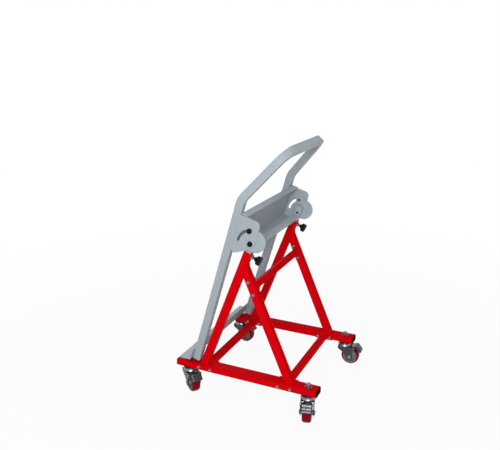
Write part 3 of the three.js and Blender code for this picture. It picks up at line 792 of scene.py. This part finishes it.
shoulder_centre = (WHEEL_RADIUS - SHOULDER, SHOULDER_WIDTH - WHEEL_HALF)
shoulder = arc(shoulder_centre, SHOULDER, -90, 0, 9, SHOULDER_WIDTH / SHOULDER)
tread_profile = both_ends([(TREAD_INNER, TREAD_STEP - WHEEL_HALF), *shoulder, (WHEEL_RADIUS, -1)])
core_profile = both_ends([
    (5.2, -HUB_HALF), (8.8, -HUB_HALF), (9.5, 0.7 - HUB_HALF), (10.3, -6.4),
    *arc((12.3, -7.0), 2.0, 180, 90, 3), *arc((22.2, -7.0), 2.0, 90, 0, 3),
    (25.6, -15.2), (26.4, -16.0), (CORE_RADIUS, -16.0), (CORE_RADIUS, -1),
])
for place in CASTERS:
    wheel_space = caster_space[place] @ Matrix.Translation((TRAIL, 0, WHEEL_RADIUS))
    across = wheel_space @ Matrix.Rotation(-math.pi / 2, 4, "X")
    tread = make_piece(
        f"{place}_wheel_tread", [lathe(tread_profile, 72)], across,
        f"{place}_wheel", crimson_urethane, sharp=40,
    )
    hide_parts(f"{place}_tread")
    core = make_piece(
        f"{place}_wheel_hub", [lathe(core_profile, 64)], across,
        f"{place}_wheel", grey_nylon,
    )
    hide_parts(f"{place}_wheel_core")
    axle = make_piece(
        f"{place}_axle_bolt",
        [
            bolt_shank(AXLE_RADIUS, -AXLE_END, LEG_OUTER + INTO_HEAD),
            *bolt_head(LEG_OUTER, AXLE_FLATS, AXLE_RADIUS, AXLE_HEAD, AXLE_WASHER),
            hexagon(AXLE_FLATS, AXLE_PROUD - AXLE_END, -LEG_OUTER - SEAT_GAP, (True, False)),
        ],
        across, f"{place}_caster", zinc,
    )
    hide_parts(f"{place}_axle")
print("wheels:", len(CASTERS))

# %% [markdown]
# The fork is one pressed sheet: two legs, rounded bends and a crown. It can be lofted along the
# sheet's own run, up one leg, over the crown and down the other. Each row of points spans the
# sheet from its front edge to its rear edge, which narrows to a hub at the axle.

# %% Edges of a fork's leg
CROWN = 82.0
CROWN_FRONT, CROWN_REAR = -24.0, 26.0
BEND = 4.0
HUB = 14.0
HUB_TOP = WHEEL_RADIUS + 0.55 * HUB  # where the front edge leaves the hub's circle
WAIST = (34.0, 62.0)  # s behind the swivel's axis, and z above the floor
PIN = (43.0, 78.0)
PIN_LOBE = 6.5
LOBE_FOOT = (PIN[0] + 0.6 * PIN_LOBE, PIN[1] - 0.8 * PIN_LOBE)
SKIRT = CROWN - 12.0


def hub_reach(z):
    return math.sqrt(max(0.0, HUB ** 2 - (z - WHEEL_RADIUS) ** 2))


def along_edge(z, low, high):
    """Where an edge between two (s, z) points is at height z."""
    share = (z - low[1]) / (high[1] - low[1])
    return low[0] + share * (high[0] - low[0])


def leg_front(z):
    if z >= SKIRT:
        return CROWN_FRONT
    if z <= HUB_TOP:
        return TRAIL - hub_reach(z)
    return along_edge(z, (TRAIL - hub_reach(HUB_TOP), HUB_TOP), (CROWN_FRONT, SKIRT))


def leg_rear(z):
    if z <= WHEEL_RADIUS:
        return TRAIL + hub_reach(z)
    if z <= WAIST[1]:
        return along_edge(z, (TRAIL + HUB, WHEEL_RADIUS), WAIST)
    if z <= LOBE_FOOT[1]:
        return along_edge(z, WAIST, LOBE_FOOT)
    return PIN[0] + math.sqrt(max(0.0, PIN_LOBE ** 2 - (z - PIN[1]) ** 2))


print("a leg is", round(leg_rear(WHEEL_RADIUS) - leg_front(WHEEL_RADIUS)), "mm wide at the axle")

# %% Forks
def pressed_fork():
    bend_steps = 6
    columns = 12
    mirror = Vector((1, -1, 1))
    widest = leg_rear(CROWN - BEND)
    # rows lie close together round the hub, then up the leg, and at the corner of the skirt
    heights = [WHEEL_RADIUS - HUB * math.cos(math.pi * i / 16) for i in range(1, 13)]
    heights += [WHEEL_RADIUS + HUB + 4.0 * i for i in range(1, 7)]
    heights += [SKIRT - 1.0, SKIRT, SKIRT + 1.0]
    heights = sorted(z for z in heights if z < CROWN - BEND)
    rows = [(z, LEG_OUTER, Vector((0, 1, 0)), leg_front(z), leg_rear(z)) for z in heights]
    for i in range(bend_steps + 1):
        angle = math.pi / 2 * i / bend_steps
        normal = Vector((0, math.cos(angle), math.sin(angle)))
        y = LEG_OUTER - BEND + BEND * normal.y
        z = CROWN - BEND + BEND * normal.z
        tuck = widest - (widest - CROWN_REAR) * i / bend_steps
        rows.append((z, y, normal, CROWN_FRONT, tuck))
    mirrored = []
    for z, y, normal, front, rear in reversed(rows):
        mirrored.append((z, -y, normal * mirror, front, rear))
    thickness = LEG_OUTER - LEG_INNER
    rings = []
    for z, y, normal, front, rear in rows + mirrored:
        spread = [front + (rear - front) * k / columns for k in range(columns + 1)]
        outside = [Vector((s, y, z)) for s in spread]
        inside = [point - normal * thickness for point in reversed(outside)]
        rings.append(outside + inside)
    return loft(rings)


for place in CASTERS:
    fork = make_piece(
        f"{place}_pressed_fork", [pressed_fork()], caster_space[place],
        f"{place}_caster", shade_darkened_plate, sharp=40, edge_mm=0.6,
    )
    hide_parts(f"{place}_fork")
print("forks:", len(CASTERS))

# %% [markdown]
# The fork turns under two round pressings: a bright ball race on its crown, and a cup bolted under
# the rail, whose darker plate paints shade. Both are made on the lathe, from profiles with rolled edges
# that catch the light.

# %% Ball races and swivel cups
RACE_TOP = 91.4
CUP_LOW, CUP_HIGH = 92.0, 99.7
race_profile = [
    (0, CROWN - 0.5), (26.6, CROWN - 0.5), *arc((26.6, CROWN + 0.8), 1.3, -90, 45, 5),
    (26.2, CROWN + 3.4), (25.2, CROWN + 5.6),
    *arc((23.0, RACE_TOP - 1.0), 1.0, 0, 90, 3), (0, RACE_TOP),
]
cup_profile = [
    (6.4, CUP_LOW),
    *arc((24.5, CUP_LOW + 2.5), 2.5, -90, 0, 5), *arc((24.5, CUP_LOW + 3.4), 2.5, 0, 70, 4),
    (20.6, CUP_HIGH - 1.6), (19.0, CUP_HIGH - 0.6), (19.0, CUP_HIGH), (6.4, CUP_HIGH),
]
for place in CASTERS:
    make_piece(
        f"{place}_ball_race", [lathe(race_profile, 64)], caster_space[place],
        f"{place}_caster", zinc,
    )
    cup = make_piece(
        f"{place}_cup", [lathe(cup_profile, 64)], caster_space[place],
        "base", shade_darkened_plate,
    )
    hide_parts(f"{place}_swivel_cup")
print("ball races and cups:", len(CASTERS))

# %% [markdown]
# The brake pedal is a second pressing: a neck between the fork's legs, a bend, and a steep toe plate
# with its sides turned back and two raised bars that keep a foot from slipping. It is lofted like the
# fork, ring by ring along its own run, and a short pad under the neck presses on the tread.

# %% The pressing of a pedal
PEDAL_SHEET = 2.2
PEDAL_START = Vector((31.5, 0, 78.8))
PEDAL_KNEE = Vector((56.5, 0, 88.2))
PEDAL_TIP = Vector((75.0, 0, 64.0))
PEDAL_BEND = 5.0
PEDAL_BEND_STEP, PEDAL_STEP = 1.2, 1.0
PEDAL_NECK, PEDAL_TOE = 19.6, 22.0  # half widths
TOE_FROM, TOE_RUN = 51.0, 4.0  # where the neck starts to widen, and over what length
PEDAL_LIP = 4.0
LIP_FROM, LIP_RUN = 0.84, 0.16  # shares of the half width
BAR_PLACES = (0.42, 0.78)  # shares of the way down the toe plate
BAR_HEIGHT, BAR_HALF = 1.6, 2.6
BAR_END, BAR_END_RUN = 0.66, 0.12  # shares of the half width
BAR_FLANK = 1.5  # how steep the sides of a bar are


def eased(value):
    clamped = min(1.0, max(0.0, value))
    return clamped * clamped * (3 - 2 * clamped)


def evenly(line, step):
    """More points along the straight runs of a line."""
    points = []
    for a, b in zip(line, line[1:]):
        count = max(1, round((b - a).length / step))
        points += [a.lerp(b, i / count) for i in range(count)]
    return points + [line[-1]]


def pedal_sheet():
    across = 20
    toe_run = (PEDAL_TIP - PEDAL_KNEE).length
    run = bent_line([PEDAL_START, PEDAL_KNEE, PEDAL_TIP], (PEDAL_BEND,), PEDAL_BEND_STEP)
    line = evenly(run, PEDAL_STEP)
    rings = []
    for i, point in enumerate(line):
        along = (line[min(i + 1, len(line) - 1)] - line[max(i - 1, 0)]).normalized()
        normal = Vector((-along.z, 0, along.x))
        widening = eased((point.x - TOE_FROM) / TOE_RUN)
        half = PEDAL_NECK + (PEDAL_TOE - PEDAL_NECK) * widening
        down_toe = (point - PEDAL_KNEE).length * (1 if point.x > PEDAL_KNEE.x - 1 else 0)
        bar = 0.0
        for share in BAR_PLACES:
            bar += eased(BAR_FLANK * (1 - abs(down_toe - share * toe_run) / BAR_HALF))
        top = []
        under = []
        for k in range(across + 1):
            v = 2 * k / across - 1
            turned = PEDAL_LIP * eased((abs(v) - LIP_FROM) / LIP_RUN) * widening
            raised = BAR_HEIGHT * bar * (1 - eased((abs(v) - BAR_END) / BAR_END_RUN))
            spot = point + Vector((0, half * v, 0)) - normal * turned
            top.append(spot + normal * (PEDAL_SHEET / 2 + raised))
            under.append(spot - normal * (PEDAL_SHEET / 2))
        rings.append(top + list(reversed(under)))
    return loft(rings)


pressing = pedal_sheet()
print("a pedal's pressing has", len(pressing[1]), "faces")

# %% Brake pedals
SHOE_HALF = 12.0
PIN_PROUD = 1.5


def plate_across(outline, half_width):
    """A flat plate, outlined in x and z."""
    return loft([[(x, y, z) for x, z in outline] for y in (-half_width, half_width)])


shoe_outline = [
    (46, 84), *arc((47.5, 74.3), 1.5, 180, 270, 4), *arc((52.5, 74.3), 1.5, 270, 360, 4), (54, 86),
]
pin_end = LEG_OUTER + PIN_PROUD
pin_profile = both_ends([
    (0, -pin_end), (2.4, -pin_end), (3.0, 0.6 - pin_end),
    (3.0, -PEDAL_NECK), (4.2, 0.2 - PEDAL_NECK), (4.2, -1),
])
for place in CASTERS:
    pedal = make_piece(
        f"{place}_pedal_sheet", [pressing, plate_across(shoe_outline, SHOE_HALF)], caster_space[place],
        f"{place}_pedal", shade_darkened_plate, sharp=40,
    )
    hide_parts(f"{place}_brake_pedal")
    pin_place = caster_space[place] @ Matrix.Translation((PIN[0], 0, PIN[1]))
    pin_space = pin_place @ Matrix.Rotation(-math.pi / 2, 4, "X")
    make_piece(
        f"{place}_pedal_pin", [lathe(pin_profile, 28)], pin_space, f"{place}_pedal", zinc
    )
print("brake pedals:", len(CASTERS))

# %% [markdown]
# ## Bolts on the base
# A large bolt with a spring washer holds each caster to its rail. The cross tubes are bolted on
# through their end flanges: two bolts at each end, heads outside and nuts inside, so the base comes
# apart for shipping. The flange bolts are too small to matter for weight, so they are made only here.

# %% Caster bolts
RAIL_TOP = 125.0
CASTER_WASHER = (6.0, 13.5, 0.2, 2.4)  # inner and outer radius, then lower and upper face on the rail
SPRING_WASHER = (6.2, 9.8, 2.3, 5.2)
CASTER_HEAD = (19.0, 5.1, 13.2)  # flats, then lower and upper face
for place in CASTERS:
    bolt = make_piece(
        f"{place}_caster_bolt",
        [washer(*CASTER_WASHER), washer(*SPRING_WASHER), hexagon(*CASTER_HEAD)],
        caster_space[place] @ Matrix.Translation((0, 0, RAIL_TOP)),
        "base", zinc,
    )
    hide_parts(f"{place}_mount_bolt")
print("caster bolts:", len(CASTERS))

# %% Flange bolts
RAIL_FACES = (256.0, 206.0)  # outer and inner
BRACE_FACES = (243.0, 213.0)
RAIL_MIDDLE = 112.5
FLANGE_SHEET = 4.3
FLANGE_BOLT_REACH = 25.0
CROSS_Y = 166.0
UPPER_TUBE = (27.1, 475.0)
BRACE_LEAN = math.radians(23.4)
M6_FLATS, M6_RADIUS = 10.0, 3.0
M6_HEAD, M6_NUT, M6_WASHER = 4.0, 5.0, 1.6
NUT_WASHER_SHARE = 0.6  # a washer's radius, of the flats on it
PITCH_SHARE = 0.3  # of the radius


def nut_end(face, flats, radius, nut, plate):
    """Washer and nut on a face that looks down z, with two turns of thread below the nut."""
    seat = face - plate
    pitch = radius * PITCH_SHARE
    return [
        washer(radius, flats * NUT_WASHER_SHARE, seat, face - SEAT_GAP),
        hexagon(flats, seat - nut, seat, (True, False)),
        thread(radius, seat - nut - 2 * pitch, seat - nut, pitch),
    ]


rail_along = Vector((0, 1, 0))
brace_along = Vector((0, -math.sin(BRACE_LEAN), math.cos(BRACE_LEAN)))
flange_joints = [
    ("front", Vector((0, -CROSS_Y, RAIL_MIDDLE)), rail_along, RAIL_FACES),
    ("rear", Vector((0, CROSS_Y, RAIL_MIDDLE)), rail_along, RAIL_FACES),
    ("upper", Vector((0, *UPPER_TUBE)), brace_along, BRACE_FACES),
]
for tube_name, centre, along, (outer, inner) in flange_joints:
    for side, sign in SIDES.items():
        for number, reach in enumerate((-FLANGE_BOLT_REACH, FLANGE_BOLT_REACH), 1):
            make_piece(
                f"{tube_name}_{side}_flange_bolt_{number}",
                [
                    *bolt_head(outer, M6_FLATS, M6_RADIUS, M6_HEAD, M6_WASHER),
                    *nut_end(inner - FLANGE_SHEET, M6_FLATS, M6_RADIUS, M6_NUT, M6_WASHER),
                ],
                space(base_space @ (centre + along * reach), up, right * sign),
                "base", zinc,
            )
print("flange bolts:", 2 * len(flange_joints) * len(SIDES))

# %% [markdown]
# ## Welds
# The posts and braces are welded to the rails and to each other, and the brackets and beam to the
# uprights. A weld is a row of frozen puddles, so a bead is a round line whose thickness ripples
# every few millimetres. The lines on the base are read from the corners of its tubes, and the
# others follow the edges of the brackets, the beam and the bar between the stand heads.

# %% A bead, and the lines on the base
BEAD_MM = 2.2  # radius
RIPPLE_MM = 3.4
RIPPLE_DEPTH = 0.16  # of the radius
SAME_FACE_MM = 0.5
ROUND_A_FACE = ((0, 0), (1, 0), (1, 1), (0, 1), (0, 0))  # which end of each side a corner is at


def bead(line, radius=BEAD_MM):
    """A rippled bead along a line of corners, in millimetres."""
    stations = []
    for a, b in zip(line, line[1:]):
        count = max(1, round((b - a).length / (RIPPLE_MM / 4)))
        stations += [a.lerp(b, i / count) for i in range(count)]
    stations.append(line[-1])
    sides = 8
    rings = []
    travelled = 0.0
    for i, point in enumerate(stations):
        ahead = stations[min(i + 1, len(stations) - 1)] - stations[max(i - 1, 0)]
        along = ahead.normalized()
        helper = Vector((0, 0, 1)) if abs(along.z) < 0.8 else Vector((1, 0, 0))
        first = along.cross(helper).normalized()
        second = along.cross(first)
        travelled += (point - stations[i - 1]).length if i else 0.0
        thick = radius * (1 + RIPPLE_DEPTH * math.sin(2 * math.pi * travelled / RIPPLE_MM))
        rings.append([
            point + thick * (first * math.cos(a) + second * math.sin(a))
            for a in (2 * math.pi * k / sides for k in range(sides))
        ])
    return loft(rings)


def foot_loop(name):
    """The corners of a tube's lowest face, in base space, closed."""
    corners = [base_space.inverted() @ vertex.co for vertex in nodes[name].data.vertices]
    lowest = min(corner.z for corner in corners)
    foot = [corner for corner in corners if corner.z < lowest + SAME_FACE_MM]
    x = min(c.x for c in foot), max(c.x for c in foot)
    y = min(c.y for c in foot), max(c.y for c in foot)
    return [Vector((x[i], y[j], lowest)) for i, j in ROUND_A_FACE]


def mitre_loop(name):
    """The corners where a brace meets the back of its post, in base space, closed."""
    to_post = post_space.inverted()
    corners = [to_post @ vertex.co for vertex in nodes[name].data.vertices]
    nearest = min(corner.y for corner in corners)
    face = [corner for corner in corners if corner.y < nearest + SAME_FACE_MM]
    x = min(c.x for c in face), max(c.x for c in face)
    z = min(c.z for c in face), max(c.z for c in face)
    loop = [Vector((x[i], nearest, z[j])) for i, j in ROUND_A_FACE]
    return [base_space.inverted() @ (post_space @ corner) for corner in loop]


for side in SIDES:
    loops = [foot_loop(f"{side}_post"), foot_loop(f"{side}_brace"), mitre_loop(f"{side}_brace")]
    make_piece(
        f"{side}_base_welds", [bead(loop) for loop in loops],
        base_space, "base", red_coat, sharp=60,
    )
print("three welds on each side of the base")

# %% Beads on the brackets, the beam and the bar
UPRIGHT_REAR = -64.8
BRACKET_LINE = 249.0
BRACKET_BEAD, BRACKET_WELD_TOP, BRACKET_WELD_FOOT = 1.2, 88.5, -49.0
BEAM_END = 244.6
BEAM_REAR, BEAM_WEB = -37.0, -61.3
BEAM_HIGH, BEAM_LOW = 92.1, -40.6
BEAM_BEAD, WEB_WELD_TOP, WEB_WELD_FOOT = 2.4, 40.0, -28.0  # the stand head swings past between them
HEAD_BAR_LINE = 215.3
HEAD_BAR_BEAD = 1.8
HEAD_BAR_Y, HEAD_BAR_Z = (-12.5, 12.5), (-9.5, -29.5)
for side, sign in SIDES.items():
    ends = (BRACKET_WELD_TOP, BRACKET_WELD_FOOT)
    bracket_line = [Vector((sign * BRACKET_LINE, UPRIGHT_REAR, u)) for u in ends]
    beads = [bead(bracket_line, BRACKET_BEAD)]
    for edge, stop in ((BEAM_HIGH, WEB_WELD_TOP), (BEAM_LOW, WEB_WELD_FOOT)):
        turns = ((BEAM_REAR, edge), (BEAM_WEB, edge), (BEAM_WEB, stop))
        beads.append(bead([Vector((sign * BEAM_END, n, u)) for n, u in turns], BEAM_BEAD))
    make_piece(
        f"{side}_bracket_welds", beads, tilt_space, "tilt_frame", grey_coat, sharp=60
    )
    bar_x = sign * HEAD_BAR_LINE
    bar_loop = [Vector((bar_x, HEAD_BAR_Y[i], HEAD_BAR_Z[j])) for i, j in ROUND_A_FACE]
    make_piece(
        f"{side}_head_bar_weld", [bead(bar_loop, HEAD_BAR_BEAD)],
        post_space, "stand_heads", grey_coat, sharp=60,
    )
print("beads on", len(SIDES), "brackets and both ends of the bar")

# %% [markdown]
# ## Floor and light
# A product picture stands on a pale sweep with soft light. Here the floor is a wide pale plane. The
# camera and reflections see most of it as plain white, which hides the horizon, while the rest is
# ordinary paint that takes the cart's shadow. The world does the same for what lies behind.

# %% Floor
FLOOR_SIZE = 60.0
NEAR_SHARE, FAR_SHARE = 0.92, 1.0  # how white the floor looks under the cart and far from it
NEAR_M, FAR_M = 0.5, 2.5


def seen_directly(tree):
    """1 for rays from the camera, from reflections and through glass, and 0 for light that bounces."""
    rays = add_node(tree, "ShaderNodeLightPath")
    first = add_node(
        tree, "ShaderNodeMath", {"operation": "MAXIMUM"},
        {0: rays.outputs["Is Camera Ray"], 1: rays.outputs["Is Glossy Ray"]},
    )
    both = add_node(
        tree, "ShaderNodeMath", {"operation": "MAXIMUM"},
        {0: first.outputs[0], 1: rays.outputs["Is Transmission Ray"]},
    )
    return both.outputs[0]


floor_mesh = bpy.data.meshes.new("studio_floor")
reach = FLOOR_SIZE / 2
floor_mesh.from_pydata(
    [(-reach, -reach, 0), (reach, -reach, 0), (reach, reach, 0), (-reach, reach, 0)], [], [(0, 1, 2, 3)]
)
floor = bpy.data.objects.new("studio_floor", floor_mesh)
bpy.context.scene.collection.objects.link(floor)
floor_paint = bpy.data.materials.new("pale_studio_floor")
floor_paint.use_nodes = True
floor_tree = floor_paint.node_tree
floor_tree.nodes.clear()
matt = add_node(floor_tree, "ShaderNodeBsdfDiffuse", {"Color": linear("#F2F2F1")})
white = add_node(floor_tree, "ShaderNodeEmission", {"Color": linear("#FFFFFF"), "Strength": 1.0})
spot = add_node(floor_tree, "ShaderNodeTexCoord").outputs["Object"]
distance = add_node(floor_tree, "ShaderNodeVectorMath", {"operation": "LENGTH"}, {0: spot})
whiteness = add_node(
    floor_tree,
    "ShaderNodeMapRange",
    {"From Min": NEAR_M, "From Max": FAR_M, "To Min": NEAR_SHARE, "To Max": FAR_SHARE},
    {"Value": distance.outputs["Value"]},
)
share = add_node(
    floor_tree, "ShaderNodeMath", {"operation": "MULTIPLY"},
    {0: seen_directly(floor_tree), 1: whiteness.outputs["Result"]},
)
blend = add_node(
    floor_tree, "ShaderNodeMixShader", None,
    {0: share.outputs[0], 1: matt.outputs[0], 2: white.outputs[0]},
)
add_node(floor_tree, "ShaderNodeOutputMaterial", None, {"Surface": blend.outputs[0]})
floor_mesh.materials.append(floor_paint)
print("floor of", FLOOR_SIZE, "m")

# %% Backdrop
FILL_STRENGTH = 0.22
world = bpy.data.worlds.new("studio_world")
world.use_nodes = True
bpy.context.scene.world = world
world_tree = world.node_tree
world_tree.nodes.clear()
fill = add_node(
    world_tree, "ShaderNodeBackground", {"Color": linear("#F0F6FF"), "Strength": FILL_STRENGTH}
)
backdrop = add_node(world_tree, "ShaderNodeBackground", {"Color": linear("#FFFFFF"), "Strength": 1.0})
sky = add_node(
    world_tree, "ShaderNodeMixShader", None,
    {0: seen_directly(world_tree), 1: fill.outputs[0], 2: backdrop.outputs[0]},
)
add_node(world_tree, "ShaderNodeOutputWorld", None, {"Surface": sky.outputs[0]})
print("fill light of", FILL_STRENGTH, "from", world.name)

# %% [markdown]
# A softbox is a lamp behind a wide cloth. A glowing panel would do, but an area lamp gives the same
# soft edge with less noise. The key is on the camera's side. The others lift the top and far side.

# %% Lamps
def area_lamp(name, place, aim, size, watts):
    lamp = bpy.data.lights.new(name, "AREA")
    lamp.shape = "SQUARE"
    lamp.size = size
    lamp.energy = watts
    stand = bpy.data.objects.new(name, lamp)
    stand.location = middle + Vector(place)
    stand.rotation_mode = "QUATERNION"
    stand.rotation_quaternion = (Vector(aim) - Vector(place)).to_track_quat("-Z", "Y")
    bpy.context.scene.collection.objects.link(stand)


area_lamp("key_softbox", (2.85, 1.2, 2.1), aim=(0, 0, 0.5), size=1.6, watts=88.0)
area_lamp("top_softbox", (-0.2, 0.4, 3.0), aim=(0, 0, 0.4), size=2.0, watts=8.0)
area_lamp("side_softbox", (-2.5, -2.1, 1.6), aim=(0, 0, 0.45), size=1.6, watts=25.0)
print("lamps:", len(bpy.data.lights))

# %% [markdown]
# ## Camera
# The picture is taken from beyond the cart's right-hand rear corner, from a little above its top.
# The place, direction and lens come from the straight edges of the cart in the reference picture.

# %% Camera
CAMERA_PLACE = Vector((2132.0, 907.5, 1331.5))  # millimetres in base space
CAMERA_AIM = Vector((-0.8685, -0.4066, -0.2837))
LENS_MM, SENSOR_MM = 44.65, 36.0

lens = bpy.data.cameras.new("studio_camera")
lens.sensor_width = SENSOR_MM
lens.lens = LENS_MM
camera = bpy.data.objects.new("studio_camera", lens)
camera.location = base_space @ CAMERA_PLACE
camera.rotation_mode = "QUATERNION"
camera.rotation_quaternion = CAMERA_AIM.to_track_quat("-Z", "Y")
bpy.context.scene.collection.objects.link(camera)
bpy.context.scene.camera = camera
bpy.context.scene.view_settings.view_transform = "Standard"
print("camera at", [round(v, 3) for v in camera.location])

# %% [markdown]
# ## Finish
# Dressing must not change the cart's size. The view layer is brought up to date before the scene is
# closed.

# %% Update the view layer, and finish
bpy.context.view_layer.update()
